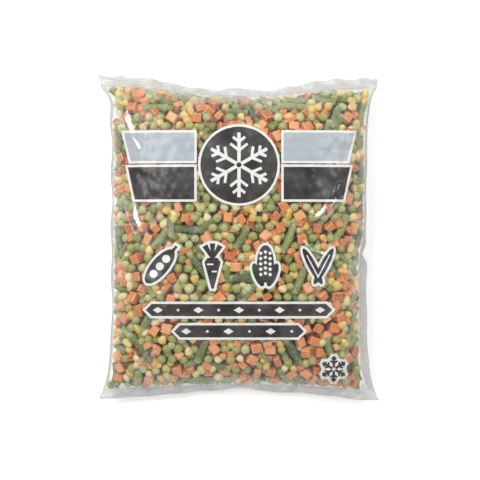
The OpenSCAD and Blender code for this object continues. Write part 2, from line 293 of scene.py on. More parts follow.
def pea_material(food):
    # Blanched pea skin, frozen: thin and waxy, soft-green with paler patches and a soft highlight.
    stops = [(0.0, food.pea_dark), (0.3, food.pea_fresh), (0.55, food.pea_mid), (1.0, food.pea_pale)]
    return food_material(
        "frozen pea skin", stops, None, grain=3.5 * MM, rime=food.rime, frost=0.42, roughness=0.5, bump=0.35
    )


def carrot_material(food):
    # Cut carrot flesh, frozen: matt orange with a fine paler grain and frost along the cuts.
    stops = [(0.0, food.carrot_deep), (0.55, food.carrot_mid), (1.0, food.carrot_pale)]
    edge = [(0.0, food.carrot_mid), (1.0, food.carrot_frost)]
    return food_material(
        "frozen cut carrot", stops, edge, grain=2.2 * MM, rime=food.rime, frost=0.4, roughness=0.6, bump=0.5
    )


def corn_material(food):
    # Sweetcorn hull, frozen: smooth and glossy yellow, fading to a cream tip.
    stops = [(0.0, food.corn_deep), (0.6, food.corn_mid), (1.0, food.corn_tip)]
    tip = [(0.0, food.corn_mid), (1.0, food.corn_tip)]
    return food_material(
        "frozen sweetcorn hull", stops, tip,
        grain=4.5 * MM, rime=food.rime, frost=0.25, roughness=0.45, bump=0.15
    )


def bean_material(food):
    # Green bean pod, frozen: dark satin skin, with cut ends that show a pale ring and core.
    stops = [(0.0, food.bean_dark), (0.5, food.bean_mid), (1.0, food.bean_pale)]
    ring = [(0.0, food.bean_mid), (0.45, food.bean_pale), (1.0, food.bean_core)]
    return food_material(
        "frozen bean pod", stops, ring, grain=3 * MM, rime=food.rime, frost=0.42, roughness=0.52, bump=0.45
    )


def film_material(look, name, milk_colour):
    # Blown polyethylene film: clear, with a thin milky haze that comes and goes, more of it where
    # the film stands off the frozen pieces, a soft sheen, and white glints on its creases.
    material, tree = new_material(name)
    place = add_node(tree, "TexCoord", "Object")
    # Haze that each vertex adds. On the end welds it also holds streaks of painted light and shade of their
    # wrinkles.
    added = add_node(tree, "Attribute", "Fac", attribute_name="haze_and_painted_light")
    crease = add_node(tree, "Attribute", "Fac", attribute_name="crease")
    cloud = add_node(tree, "TexNoise", "Fac", {
        "Vector": place, "Scale": 1 / (38 * MM), "Detail": 3, "Roughness": 0.55
    })
    thin = add_node(tree, "MapRange", "Result", {
        "Value": cloud, "From Min": 0.4, "From Max": 0.68,
        "To Min": look.least_haze, "To Max": look.most_haze
    })
    haze_and_painted_light = add_node(tree, "Math", 0, {0: added, 1: thin}, operation="ADD")
    # The film's own small dents are about 7 mm apart, and its milky clouds about 38 mm.
    dent = add_node(tree, "TexNoise", "Fac", {"Vector": place, "Scale": 1 / (7 * MM), "Detail": 2})
    relief = add_node(tree, "Bump", "Normal", {"Height": dent, "Strength": 0.12, "Distance": 0.6 * MM})
    clear = add_node(tree, "BsdfTransparent", "BSDF")
    milk = add_node(tree, "BsdfPrincipled", "BSDF", {"Base Color": tuple(milk_colour), "Roughness": 0.5})
    body = add_node(tree, "MixShader", 0, {0: haze_and_painted_light, 1: clear, 2: milk})
    # The mirror is capped, so that the steep sides stay clear, and is stronger on a crease.
    most_mirror, flat_gain, crease_gain = 0.16, 0.55, 1.6
    fresnel = add_node(tree, "Fresnel", "Fac", {"IOR": 1.5, "Normal": relief})
    capped = add_node(tree, "Math", 0, {0: fresnel, 1: most_mirror}, operation="MINIMUM")
    gain = add_node(tree, "MapRange", "Result", {
        "Value": crease, "To Min": flat_gain, "To Max": crease_gain
    })
    mirror = add_node(tree, "Math", 0, {0: capped, 1: gain}, operation="MULTIPLY")
    rough = add_node(tree, "MapRange", "Result", {
        "Value": crease, "To Min": look.sheen, "To Max": look.glint
    })
    gloss = add_node(tree, "BsdfAnisotropic", "BSDF", {
        "Color": (1, 1, 1, 1), "Roughness": rough, "Normal": relief
    })
    surface = add_node(tree, "MixShader", 0, {0: mirror, 1: body, 2: gloss})
    add_node(tree, "OutputMaterial", inputs={"Surface": surface})
    return material


def ink_material(name, ink, wear):
    # Flexo ink on film: flat colour with a faint mottle, under the film's own gloss.
    material, tree = new_material(name)
    place = add_node(tree, "TexCoord", "Object")
    mottle = add_node(tree, "TexNoise", "Fac", {
        "Vector": place, "Scale": 1 / (26 * MM), "Detail": 5, "Roughness": 0.65
    })
    worn_to = 0.62
    faded = tuple(part + (worn_to - part) * wear for part in ink[:3]) + (1.0,)
    shade = add_node(tree, "ValToRGB", "Color", {"Fac": mottle}, [(0.35, ink), (0.72, faded)])
    crease = add_node(tree, "Attribute", "Fac", attribute_name="crease")
    rough = add_node(tree, "MapRange", "Result", {"Value": crease, "To Min": 0.36, "To Max": 0.12})
    shader = add_node(tree, "BsdfPrincipled", "BSDF", {"Base Color": shade, "Roughness": rough})
    add_node(tree, "OutputMaterial", inputs={"Surface": shader})
    return material


# Pieces in general

def mesh_of(name, shape):
    """Mesh made from a bmesh, which is freed."""
    mesh = bpy.data.meshes.new(name)
    shape.to_mesh(mesh)
    shape.free()
    return mesh


def new_piece(name, shape):
    """Object made from a bmesh, which is freed."""
    mesh = mesh_of(name, shape)
    mesh.shade_smooth()
    piece = bpy.data.objects.new(name, mesh)
    bpy.context.scene.collection.objects.link(piece)
    return piece


def finish_piece(piece, material, slot, *nodes):
    """Gives a piece its material and lets it stand for CAD nodes. The slot is not used."""
    piece.data.materials.append(material)
    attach(piece, "root")
    if nodes:
        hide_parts(*nodes)


def thicken(piece, name, thickness):
    """Gives a sheet its thickness, half of it on each side."""
    wall = piece.modifiers.new(name, "SOLIDIFY")
    wall.thickness = thickness
    wall.offset = 0


def cut_at(shape, place, way, clear_outer=True):
    """Cuts a shape by a plane. What lies beyond it is taken away, unless it is kept."""
    whole = shape.verts[:] + shape.edges[:] + shape.faces[:]
    bmesh.ops.bisect_plane(shape, geom=whole, plane_co=place, plane_no=way, clear_outer=clear_outer)


def points_of(mesh):
    """Places of a mesh's vertices, one to a row."""
    spots = np.empty(3 * len(mesh.vertices))
    mesh.vertices.foreach_get("co", spots)
    return spots.reshape(-1, 3)


def move_points(mesh, spots):
    mesh.vertices.foreach_set("co", np.ascontiguousarray(spots, dtype=np.float32).ravel())
    mesh.update()


def set_values(mesh, name, values):
    """Gives each vertex a value that a material reads by its name."""
    layer = mesh.attributes.new(name=name, type="FLOAT", domain="POINT")
    layer.data.foreach_set("value", np.ascontiguousarray(values, dtype=np.float32).ravel())


def ease(t):
    """Smooth rise from 0 at 0 to 1 at 1, level beyond both."""
    t = np.clip(t, 0, 1)
    return t * t * (3 - 2 * t)


def ripple(x, y, pitch, seed):
    """Uneven waves, mostly between -1 and 1 and about a pitch from crest to crest."""
    chance = random.Random(seed)
    waves = 6
    total = 0
    for _ in range(waves):
        turn = chance.uniform(0, math.pi)
        wave = 2 * math.pi / (pitch * chance.uniform(0.7, 1.8))
        along = x * math.cos(turn) + y * math.sin(turn)
        total = total + np.sin(wave * along + chance.uniform(0, 6.28))
    return total / (waves / 2)


# Form of the film

# How suddenly the sides widen towards the corners
WAIST_POWER = 6
# Pillow form across and along the bag, as in its solids: power of the distance, then of the height
ACROSS_POWERS = (4, 0.5)
ALONG_POWERS = (4.5, 0.6)
# The back film lies flat on the table where this many times the fullness is over 1.
BACK_FLAT = 1.7
# Share of the film's grid, across the bag, that lies over the filled part
FILL_SHARE = 0.95
# Where the empty film along the lower right side starts to widen, above the middle of the bag, and the
# run in which it does, as shares of the bag's length
WIDE_START, WIDE_RUN = 0.06, 0.16
# Dent in the right side, grip of the top weld, and pinch below the top left corner: place, then reach
DENT_Y, DENT_REACH = -16 * MM, 6 * MM
GRIP_DEPTH, GRIP_REACH = 12 * MM, 6 * MM
PINCH_DEPTH, PINCH_REACH = 28 * MM, 13 * MM
# From crest to crest along a fold, in plan and in height
WANDER_PITCH = 34 * MM
WAVE_PITCH = 46 * MM


def mid_share(u):
    """1 at the middle of the width, falling smoothly to 0 at the corners."""
    return (1 + np.cos(np.pi * np.minimum(1, np.abs(u)))) / 2


def end_share(u, end):
    """How far an end seal is drawn in along its width. The bottom seal is drawn in more evenly."""
    middle = mid_share(u)
    return np.where(end > 0, middle, np.sqrt(middle))


def half_width(bag, y):
    """Half the width of the bag, which is widest at its ends."""
    return bag.width / 2 - bag.waist * (1 - np.minimum(1, 2 * np.abs(y) / bag.length) ** WAIST_POWER)


def side_width(bag, u, y):
    """Half the width of the bag, with the left side drawn in below its top corner."""
    below = bag.length / 2 - PINCH_DEPTH
    pinch = bag.pinch * np.exp(-((y - below) / PINCH_REACH) ** 2)
    return half_width(bag, y) - np.where(u < 0, pinch, 0)


def filled_width(bag, u, y):
    """Half the width of the filled bag. Empty film widens along the lower right side."""
    widen = np.where(u > 0, ease((WIDE_START * bag.length - y) / (WIDE_RUN * bag.length)), 0)
    return side_width(bag, u, y) - bag.side_flat - (bag.wide_flat - bag.side_flat) * widen


def edge_width(bag, film, u, y):
    """Half the width to the side fold, with its dent, its small unevenness and the top weld's grip."""
    dent = np.where(u > 0, film.notch * np.exp(-((y - DENT_Y) / DENT_REACH) ** 2), 0)
    # The two folds are uneven in different places.
    wander = film.edge_wander * ripple(y, 90 * MM * np.sign(u), WANDER_PITCH, 3)
    grip = film.corner_grip * np.exp(-((y - bag.length / 2 + GRIP_DEPTH) / GRIP_REACH) ** 2)
    return side_width(bag, u, y) - dent + wander + grip


def seal_line(bag, u, end):
    """Distance of an end seal from the middle of the bag. The top seal is tilted a little."""
    dip = np.where(end > 0, bag.top_dip, bag.bottom_dip)
    tilt = np.where(end > 0, bag.top_tilt * (1 + np.clip(u, -1, 1)) / 2, 0)
    return bag.length / 2 - bag.end_seal - tilt - dip * end_share(u, end)


def finer_edge(t):
    """Even steps from -1 to 1, drawn closer together at both ends."""
    return 0.5 * t + 0.5 * np.sin(np.pi * t / 2)


def fullness(u, w):
    """0 at the folds and seals, 1 at the middle of the bag."""
    full = 1
    for place, (reach, rise) in ((u, ACROSS_POWERS), (w, ALONG_POWERS)):
        full = full * np.maximum(0, 1 - np.abs(place) ** reach) ** rise
    return full


def plan_x(bag, film, across, y):
    """Distance across the bag of a grid place, filled up to FILL_SHARE and flat beyond it."""
    u = finer_edge(np.clip(across / FILL_SHARE, -1, 1))
    flat = np.clip((np.abs(across) - FILL_SHARE) / (1 - FILL_SHARE), 0, 1)
    filled = filled_width(bag, u, y)
    return u * filled + np.sign(u) * flat * (edge_width(bag, film, u, y) - filled)


def film_plan(bag, film, across, along):
    """Plan and shares of the points of a grid from -1 to 1 over the film."""
    u = finer_edge(np.clip(across / FILL_SHARE, -1, 1))
    w = finer_edge(along)
    y = w * seal_line(bag, u, w)
    return plan_x(bag, film, across, y), y, u, w


def edge_lift(film, x, y):
    """Rise and fall of the folds and seals."""
    return film.edge_wave * ripple(x, y, WAVE_PITCH, 11)


def fold_waves(film, full, x, y):
    """Waves in the height of a panel, which die out away from its folds and seals."""
    return (1 - full) ** 8 * edge_lift(film, x, y)


def front_height(bag, full):
    """Height of the front film, by how full the bag is under it."""
    return bag.fold_height + (bag.thick - bag.fold_height - bag.gauge) * full


def back_height(bag, full):
    """Height of the back film, by how full the bag is over it."""
    return bag.gauge + (bag.fold_height - bag.gauge) * (1 - np.minimum(1, BACK_FLAT * full)) ** 2


# Vegetables

# Points of a solid closer than this are one point. Each axis takes this many bits of a point's key.
MERGE = 1e-6
AXIS_BITS = 21
# Pieces are drawn larger than their solids, which must not touch. They press into each other.
PEA_GROWN, DICE_GROWN, KERNEL_GROWN = 1.2, 1.11, 1.28
# Most turn, in radians, of a dice and of a kernel against its solid
DICE_TURN, KERNEL_TURN = 0.42, 0.25


def solids_of(node):
    """Points of each separate solid of a CAD node."""
    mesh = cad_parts[node].data
    spots = points_of(mesh)
    mesh.calc_loop_triangles()
    corners = np.empty(3 * len(mesh.loop_triangles), dtype=np.int32)
    mesh.loop_triangles.foreach_get("vertices", corners)
    steps = np.round((spots - spots.min(axis=0)) / MERGE).astype(np.int64)
    # Corners at one place get one number. The numbers then spread over the triangles that share
    # corners, until all the corners of a solid have the lowest of theirs.
    keys = (steps[:, 0] << 2 * AXIS_BITS) | (steps[:, 1] << AXIS_BITS) | steps[:, 2]
    _, first, merged = np.unique(keys, return_index=True, return_inverse=True)
    corners = merged[corners].reshape(-1, 3)
    label = np.arange(len(first))
    while True:
        before = label.copy()
        lowest = label[corners].min(axis=1)
        np.minimum.at(label, corners.ravel(), np.repeat(lowest, 3))
        label = label[label]
        if np.array_equal(label, before):
            break
    order = np.argsort(label, kind="stable")
    starts = np.flatnonzero(np.diff(label[order])) + 1
    return np.split(spots[first][order], starts)


def ball():
    """Unit ball of a few dozen even faces."""
    shape = bmesh.new()
    bmesh.ops.create_cube(shape, size=2)
    bmesh.ops.subdivide_edges(shape, edges=shape.edges[:], cuts=2, use_grid_fill=True)
    for vert in shape.verts:
        vert.co.normalize()
    return shape


def pea_shape(chance):
    """Pea with a dimple and slight dents."""
    shape = ball()
    squash = Vector((1.02, chance.uniform(0.93, 1.03), chance.uniform(0.86, 1)))
    for vert in shape.verts:
        dimple = 0.12 * max(0, vert.co.z) ** 6
        vert.co *= squash * (1.0 - dimple + chance.uniform(-0.04, 0.02))
    return shape


def carrot_shape(chance):
    """Carrot dice, cut a little out of square, with blunted edges."""
    shape = bmesh.new()
    bmesh.ops.create_cube(shape, size=2)
    squat = Vector((1, chance.uniform(0.9, 1.2), chance.uniform(0.7, 1)))
    for vert in shape.verts:
        vert.co = vert.co * squat + Vector([chance.uniform(-0.22, 0.1) * part for part in vert.co])
    bmesh.ops.bevel(
        shape, geom=shape.edges[:], offset=chance.uniform(0.14, 0.24), offset_type="OFFSET",
        segments=2, profile=0.5, affect="EDGES", material=-1
    )
    return shape


def corn_shape(chance):
    """Sweetcorn kernel along +Y: a broad crown with a dent, tapering to its tip."""
    shape = ball()
    flat = chance.uniform(0.68, 0.85)
    for vert in shape.verts:
        x, y, z = vert.co
        broad = 0.62 + 0.42 * float(ease((y + 1) / 1.3))
        dent = 0.2 * max(0, y) ** 4 * max(0, 1 - 3 * (x * x + z * z))
        vert.co = Vector((x * broad, y - dent, z * broad * flat))
    return shape


def bean_shape(chance):
    """Green bean cut along Y, slightly bent and bulged by its seeds."""
    shape = bmesh.new()
    bmesh.ops.create_cone(
        shape, cap_ends=True, segments=8, radius1=1, radius2=1, depth=2,
        matrix=Matrix.Rotation(math.pi / 2, 4, "X")
    )
    for place in (-0.5, 0, 0.5):
        cut_at(shape, (0, place, 0), (0, 1, 0), clear_outer=False)
    caps = [face for face in shape.faces if abs(face.normal.y) > 0.9]
    bmesh.ops.inset_individual(shape, faces=caps, thickness=0.24, depth=0.04)
    bend = chance.uniform(-0.6, 0.6)
    phase = chance.uniform(0, 6)
    for vert in shape.verts:
        x, y, z = vert.co
        bulge = 0.93 + 0.07 * math.sin(7 * y + phase)
        vert.co = Vector((x * bulge + bend * (y ** 2 - 0.4), y, z * 0.9 * bulge))
    return shape


def tip_of_corn(mesh):
    """1 at the tip of a kernel, 0 over its crown."""
    return ease((-0.25 - points_of(mesh)[:, 1]) / 0.6)


def ends_of_bean(mesh):
    """1 on the core of a bean's cut ends, less on the ring round it, 0 along the pod."""
    spots = points_of(mesh)
    across = np.hypot(spots[:, 0], spots[:, 2])
    return np.where(np.abs(spots[:, 1]) > 0.97, np.where(across < 0.9, 1.0, 0.4), 0.0)


def edges_of_dice(mesh):
    """1 on the blunted edges, 0 at the corners of the six cut faces."""
    edges = np.ones(len(mesh.vertices))
    for face in mesh.polygons:
        if face.area > 0.8:
            edges[list(face.vertices)] = 0
    return edges


def nowhere(mesh):
    """0 all over, since a pea isn't cut."""
    return np.zeros(len(mesh.vertices))


def any_turn(chance, most):
    """Matrix of a turn about each axis by at most an angle."""
    return Euler([chance.uniform(-most, most) for _ in range(3)]).to_matrix().to_4x4()


def framed(centre, axes, scales):
    """Matrix that puts a template's X, Y and Z along three axes."""
    matrix = Matrix.Identity(4)
    for column in range(3):
        for row in range(3):
            matrix[row][column] = axes[column][row] * scales[column]
    matrix.translation = centre
    return matrix


def pea_place(spots, chance):
    """Place of a pea, turned any way."""
    low, high = spots.min(axis=0), spots.max(axis=0)
    radius = float((high - low).mean()) / 2
    turn = any_turn(chance, math.pi)
    return Matrix.Translation((low + high) / 2) @ turn @ Matrix.Scale(PEA_GROWN * radius, 4)


def carrot_place(spots, chance):
    """Place of a dice, whose three shortest ways from one corner are its edges."""
    reach = np.linalg.norm(spots - spots[0], axis=1)
    near = np.argsort(reach)[1:4]
    edge = float(reach[near].mean())
    axes = [(spots[i] - spots[0]) / reach[i] for i in near]
    if np.dot(np.cross(axes[0], axes[1]), axes[2]) < 0:
        axes.reverse()
    upright = framed(spots.mean(axis=0), axes, (1, 1, 1))
    return upright @ any_turn(chance, DICE_TURN) @ Matrix.Scale(DICE_GROWN * edge / 2, 4)


def long_axis(spots):
    """Middle and axes of a solid, and how far its points lie along its longest axis and out from it."""
    middle = spots.mean(axis=0)
    _, axes = np.linalg.eigh(np.cov((spots - middle).T))
    runs = (spots - middle) @ axes[:, 2]
    apart = np.linalg.norm(spots - middle - np.outer(runs, axes[:, 2]), axis=1)
    return middle, axes, runs, apart


def along_place(spots, chance, broad_first):
    """Place of a piece along its own longest axis, rolled by chance about it."""
    middle, axes, runs, apart = long_axis(spots)
    along = axes[:, 2]
    centre = middle + along * (runs.min() + runs.max()) / 2
    if broad_first and apart[runs < 0].mean() > apart[runs > 0].mean():
        along = -along
    roll = chance.uniform(0, 2 * math.pi)
    side = math.cos(roll) * axes[:, 0] + math.sin(roll) * axes[:, 1]
    radius = float(apart.max())
    return framed(centre, (side, along, np.cross(side, along)), (radius, float(np.ptp(runs)) / 2, radius))


def corn_place(spots, chance):
    """Place of a kernel, with its crown at the broad end of its solid."""
    upright = along_place(spots, chance, True)
    turn = any_turn(chance, KERNEL_TURN)
    return upright @ turn @ Matrix.Scale(KERNEL_GROWN, 4)


def bean_place(spots, chance):
    """Place of a bean cut."""
    return along_place(spots, chance, False)


# Each kind: its shape, where it is cut, its place in a solid, its material and its slot
KINDS = {
    "peas": (pea_shape, nowhere, pea_place, pea_material, "pea"),
    "carrots": (carrot_shape, edges_of_dice, carrot_place, carrot_material, "carrot"),
    "corn": (corn_shape, tip_of_corn, corn_place, corn_material, "sweetcorn"),
    "beans": (bean_shape, ends_of_bean, bean_place, bean_material, "green_bean"),
}
# Shapes of each kind that the pieces are picked from, and how evenly their tones are spread
VARIANTS = 9
TONE_SPREAD = 1.2
# A piece is moved in from the edge by at most this many millimetres, keeps this gap to the film, and
# pushes the front film out by at most this much.
EDGE_STEPS = 18
FILM_GAP = 0.3 * MM
FILM_PUSH = 2.5 * MM
# Radius of the ball that stands for a solid, as a share of its width
SOLID_SHARES = {"peas": 0.5, "carrots": 0.5, "corn": 0.46}
# How often each kind is fitted in, and how far it is drawn beyond the room that it is given
FILL_WEIGHTS = {"peas": 31, "carrots": 37, "corn": 32}
FILL_SCALES = {"peas": (1.12, 1.12, 1.12), "carrots": (1.0, 1.0, 1.0), "corn": (1.38, 1.48, 1.38)}
# Room is not sought beyond this distance, and pieces this close to a film are pressed together
FAR_ROOM = 6 * MM
PRESS_DEPTH = 9 * MM
# Places along a short bean that is fitted in, and how many ways to lie are tried for it
BEAN_RUNS = np.array([-7, -3.5, 0, 3.5, 7]) * MM
BEAN_WAYS = 20
# A bean that is laid under the front film: how far out it may lie as a share of the bag, how thick the
# bag must be there, the depth of its middle and its radius in millimetres, and the radius that it takes
LAID_SPREAD = 0.44
LAID_LEAST_BAG = 18 * MM
LAID_DEPTHS = (4.5, 7)
LAID_RADII = (3.7, 4.4)
LAID_TAKES = 4 * MM


def covered_by(kind, spots):
    """Balls, each a centre and a radius, that stand for one solid when the room round it is sought."""
    if kind != "beans":
        return [(spots.mean(axis=0), np.ptp(spots, axis=0).mean() * SOLID_SHARES[kind])]
    middle, axes, runs, apart = long_axis(spots)
    radius = apart.max()
    reach = np.ptp(runs) / 2 - radius
    return [(middle + axes[:, 2] * reach * part, radius) for part in (-1, -0.5, 0, 0.5, 1)]


def film_heights(bag, x, y):
    """Heights of the back and front film at plan points, and -1 for both outside the bag."""
    u = x / filled_width(bag, x, y)
    w = y / seal_line(bag, u, y)
    full = fullness(np.clip(u, -1, 1), np.clip(w, -1, 1))
    inside = (np.abs(u) < 1) & (np.abs(w) < 1)
    return np.where(inside, back_height(bag, full), -1), np.where(inside, front_height(bag, full), -1)


class LooseFill:
    """The loose pieces of the bag: those of the solids, and more in the room that is left between them."""

    def __init__(self, bag, form):
        self.solids = {(kind, layer): solids_of(f"{kind}_{layer}") for kind in KINDS for layer in LAYERS}
        self.extra = {key: [] for key in self.solids}
        self.chance = random.Random(5)
        self.find_room(bag, form)
        self.lay_beans(bag, form)
        self.fill(bag, form)

    def find_room(self, bag, form):
        """Clear distance round each point of a grid over the bag."""
        step = form.step
        spans = (bag.width / 2, bag.length / 2)
        self.axes = [np.arange(-span, span, step) for span in spans] + [np.arange(0, bag.thick, step)]
        x, y = np.meshgrid(self.axes[0], self.axes[1], indexing="ij")
        low, high = film_heights(bag, x, y)
        z = self.axes[2][None, None, :]
        clear = np.full([len(axis) for axis in self.axes], FAR_ROOM)
        for heights, way in ((low, 1), (high, -1)):
            slopes = np.gradient(heights, step)
            lean = np.sqrt(1 + slopes[0] ** 2 + slopes[1] ** 2)
            clear = np.minimum(clear, way * (z - heights[..., None]) / lean[..., None])
        clear -= form.film_room
        shake = np.random.default_rng(4)
        under = np.minimum(high[..., None] - z, z - low[..., None]) / PRESS_DEPTH
        self.press = np.where((under > 0) & (under < 1), form.press, 0)
        self.clear = clear + self.press + shake.uniform(-0.2, 0.2, clear.shape) * MM
        for (kind, _), solids in self.solids.items():
            for spots in solids:
                for centre, radius in covered_by(kind, spots):
                    self.take(centre, radius)

    def take(self, centre, radius):
        """Marks the room that a ball takes."""
        reach = radius + FAR_ROOM
        ranges = tuple(
            slice(*np.searchsorted(axis, (c - reach, c + reach))) for axis, c in zip(self.axes, centre)
        )
        x, y, z = (axis[part] - c for axis, part, c in zip(self.axes, ranges, centre))
        far = np.sqrt(x[:, None, None] ** 2 + y[None, :, None] ** 2 + z[None, None, :] ** 2)
        block = self.clear[ranges]
        np.minimum(block, far - radius + self.press[ranges], out=block)

    def take_along(self, centre, way, radius):
        """Marks the room that a short bean takes."""
        for run in BEAN_RUNS:
            self.take(centre + run * way, radius)

    def lay_beans(self, bag, form):
        """Lays beans along under the front film, pressed in between the other pieces."""
        laid = 0
        for _ in range(form.bean_throws):
            spans = (bag.width, bag.length)
            x, y = (self.chance.uniform(-LAID_SPREAD, LAID_SPREAD) * span for span in spans)
            low, high = film_heights(bag, x, y)
            turn = self.chance.uniform(0, math.pi)
            way = np.array([math.cos(turn), math.sin(turn), self.chance.gauss(0, 0.15)])
            way /= np.linalg.norm(way)
            centre = np.array([x, y, high - self.chance.uniform(*LAID_DEPTHS) * MM])
            if laid == form.beans_laid or high - low <= LAID_LEAST_BAG:
                continue
            if self.room_along(centre, way, form) > form.bean_room:
                self.extra["beans", "front"].append((centre, self.chance.uniform(*LAID_RADII) * MM, way))
                self.take_along(centre, way, LAID_TAKES)
                laid += 1

    def room_along(self, centre, way, form):
        """Least clear distance along a short bean, or -1 if it leaves the grid."""
        steps = [
            np.rint((centre[k] + BEAN_RUNS * way[k] - axis[0]) / form.step).astype(int)
            for k, axis in enumerate(self.axes)
        ]
        inside = all(step.min() >= 0 and step.max() < len(axis) for step, axis in zip(steps, self.axes))
        return self.clear[tuple(steps)].min() if inside else -1

    def fill(self, bag, form):
        """Puts more pieces in the widest room that is left, until none is wide enough."""
        kinds, weights = list(FILL_WEIGHTS), list(FILL_WEIGHTS.values())
        while True:
            spot = np.unravel_index(np.argmax(self.clear), self.clear.shape)
            room = float(self.clear[spot])
            if room < form.least_room:
                break
            centre = np.array([axis[i] for axis, i in zip(self.axes, spot)])
            radius = min(room + form.overlap, form.most_room * self.chance.uniform(0.86, 1))
            way = self.bean_way(centre, form) if self.chance.random() < form.bean_tries else None
            if way is None:
                kind = self.chance.choices(kinds, weights)[0]
                self.take(centre, radius)
            else:
                kind = "beans"
                self.take_along(centre, way, radius)
            low, high = film_heights(bag, centre[0], centre[1])
            depth = (high - centre[2]) / (high - low)
            layer = LAYERS[min(len(LAYERS) - 1, max(0, int(len(LAYERS) * depth)))]
            self.extra[kind, layer].append((centre, radius, way))

    def bean_way(self, centre, form):
        """A way in which a short bean fits at a place, or None."""
        for _ in range(BEAN_WAYS):
            way = np.array([self.chance.gauss(0, 1) for _ in range(3)])
            way /= np.linalg.norm(way)
            if self.room_along(centre, way, form) > form.least_room - form.overlap:
                return way
        return None

    def places(self, kind, layer, place_of, chance):
        """Matrices that put templates in the places of one kind of piece in one layer."""
        found = [place_of(spots, chance) for spots in self.solids[kind, layer]]
        for centre, radius, way in self.extra[kind, layer]:
            if way is None:
                scale = Matrix.Diagonal([radius * part for part in FILL_SCALES[kind]] + [1])
                found.append(Matrix.Translation(centre) @ any_turn(chance, math.pi) @ scale)
            else:
                # Any way that isn't along the bean gives it a side.
                side = np.cross(way, (0.3, 0.5, 0.8))
                side /= np.linalg.norm(side)
                axes = (side, way, np.cross(side, way))
                found.append(framed(centre, axes, (radius, BEAN_RUNS[-1] + radius, radius)))
        return found


def draw_under_film(bag, verts):
    """Moves a piece in from the edge of the bag, and down or up, until it is clear of both films."""
    spots = np.array([vert.co for vert in verts])
    start = spots[0].copy()
    for _ in range(EDGE_STEPS):
        low, high = film_heights(bag, spots[:, 0], spots[:, 1])
        down = (high - spots[:, 2]).min() - FILM_GAP
        up = (low - spots[:, 2]).max() + FILM_GAP
        if high.min() > 0 and up <= down + FILM_PUSH:
            break
        x, y, _ = spots[np.argmin(high - low)]
        sideways = abs(x) / bag.width > abs(y) / bag.length
        spots += np.array([-np.sign(x), 0, 0] if sideways else [0, -np.sign(y), 0]) * MM
    shift = Vector(spots[0] - start) + Vector((0, 0, max(up, min(0, down))))
    for vert in verts:
        vert.co += shift


# The fill is worked out once, by the first of the four vegetable operators, and kept here.
loose_fill = []


def make_vegetables(kind, settings):
    """The loose pieces of one kind, a group for each layer."""
    if not loose_fill:
        loose_fill.append(LooseFill(settings.bag, settings.fill))
    shape_of, cut_of, place_of, material_of, slot = KINDS[kind]
    chance = random.Random(kind)
    templates = []
    for number in range(VARIANTS):
        shape = shape_of(chance)
        bmesh.ops.recalc_face_normals(shape, faces=shape.faces[:])
        mesh = mesh_of(f"{kind} template {number}", shape)
        templates.append((mesh, cut_of(mesh)))
    material = material_of(settings.food)
    for layer in LAYERS:
        group = bmesh.new()
        tones = []
        cuts = []
        for matrix in loose_fill[0].places(kind, layer, place_of, chance):
            mesh, cut = templates[chance.randrange(VARIANTS)]
            start = len(group.verts)
            group.from_mesh(mesh)
            group.verts.ensure_lookup_table()
            verts = group.verts[start:]
            bmesh.ops.transform(group, matrix=matrix, verts=verts)
            draw_under_film(settings.bag, verts)
            tones.append(np.full(len(cut), chance.betavariate(TONE_SPREAD, TONE_SPREAD)))
            cuts.append(cut)
        piece = new_piece(f"{layer}_{kind}", group)
        set_values(piece.data, "tone", np.concatenate(tones))
        set_values(piece.data, "cut", np.concatenate(cuts))
        finish_piece(piece, material, slot, f"{kind}_{layer}")
        if kind == "carrots":
            piece.modifiers.new("flat cut faces", "WEIGHTED_NORMAL")
    for mesh, _ in templates:
        bpy.data.meshes.remove(mesh)


# Film

def grid_shape(columns, rows):
    """Flat grid of faces from -1 to 1 both ways."""
    shape = bmesh.new()
    bmesh.ops.create_grid(shape, x_segments=columns, y_segments=rows, size=1)
    return shape


def grid_normals(spots):
    """Unit normals of a grid of points, upwards where the grid is flat."""
    normal = np.cross(np.gradient(spots, axis=1), np.gradient(spots, axis=0))
    return normal / np.linalg.norm(normal, axis=2, keepdims=True)


def along_line(x, y, start, end, width):
    """Height from 0 to 1 of a ridge from start to end, lower towards its ends."""
    way = np.subtract(end, start)
    reach = float(np.hypot(*way))
    run = np.clip(((x - start[0]) * way[0] + (y - start[1]) * way[1]) / reach ** 2, 0, 1)
    apart = np.hypot(x - start[0] - run * way[0], y - start[1] - run * way[1])
    return np.maximum(0, 1 - apart / width) * np.sin(np.pi * np.clip(run * 0.86 + 0.14, 0, 1))


# Long creases of the front film, in millimetres: two plan points, and the width and height of a flank
CREASES = (
    ((-118, 128), (-98, 84), 7, 2.2),
    ((-110, 36), (-95, -4), 6.5, 1.6),
    ((95, 37), (71, 9), 6.5, 4.3),
    ((99, 52), (93, 36), 4, 1.8),
    ((72, 11), (61, -2), 3, 1.4),
    ((61, 0), (70, -14), 3, 1.05),
    ((68, -12), (100, -22), 3, 0.7),
    ((-84, -110), (-104, -134), 4.5, 1.6),
    ((124, -138), (131, -152), 4.5, 1.6),
)
# Pleats from each end seal and each side fold: their number, how far out along it they start, their
# reach in millimetres, how far they lean, and their height as a share of the highest
END_PLEATS = (44, 0.97, (8, 34), 0.35, (0.35, 1))
SIDE_PLEATS = (34, 0.92, (7, 26), 0.6, (0.3, 0.9))
PLEAT_WIDTHS = (2.2, 4.2)
# A ray that seeks the pieces under the film starts this far outside it.
RAY_LIFT = 4 * MM
# The sides of the bag, where the film is steep, are less full than this.
STEEP_FULL = 0.6
# Steps in which the film settles, the gap under it that gives it its full haze, and the height of a
# crease that pulls it tight
SETTLE_STEPS = 500
HAZE_GAP = 9 * MM
TIGHT_RISE = 0.35 * MM


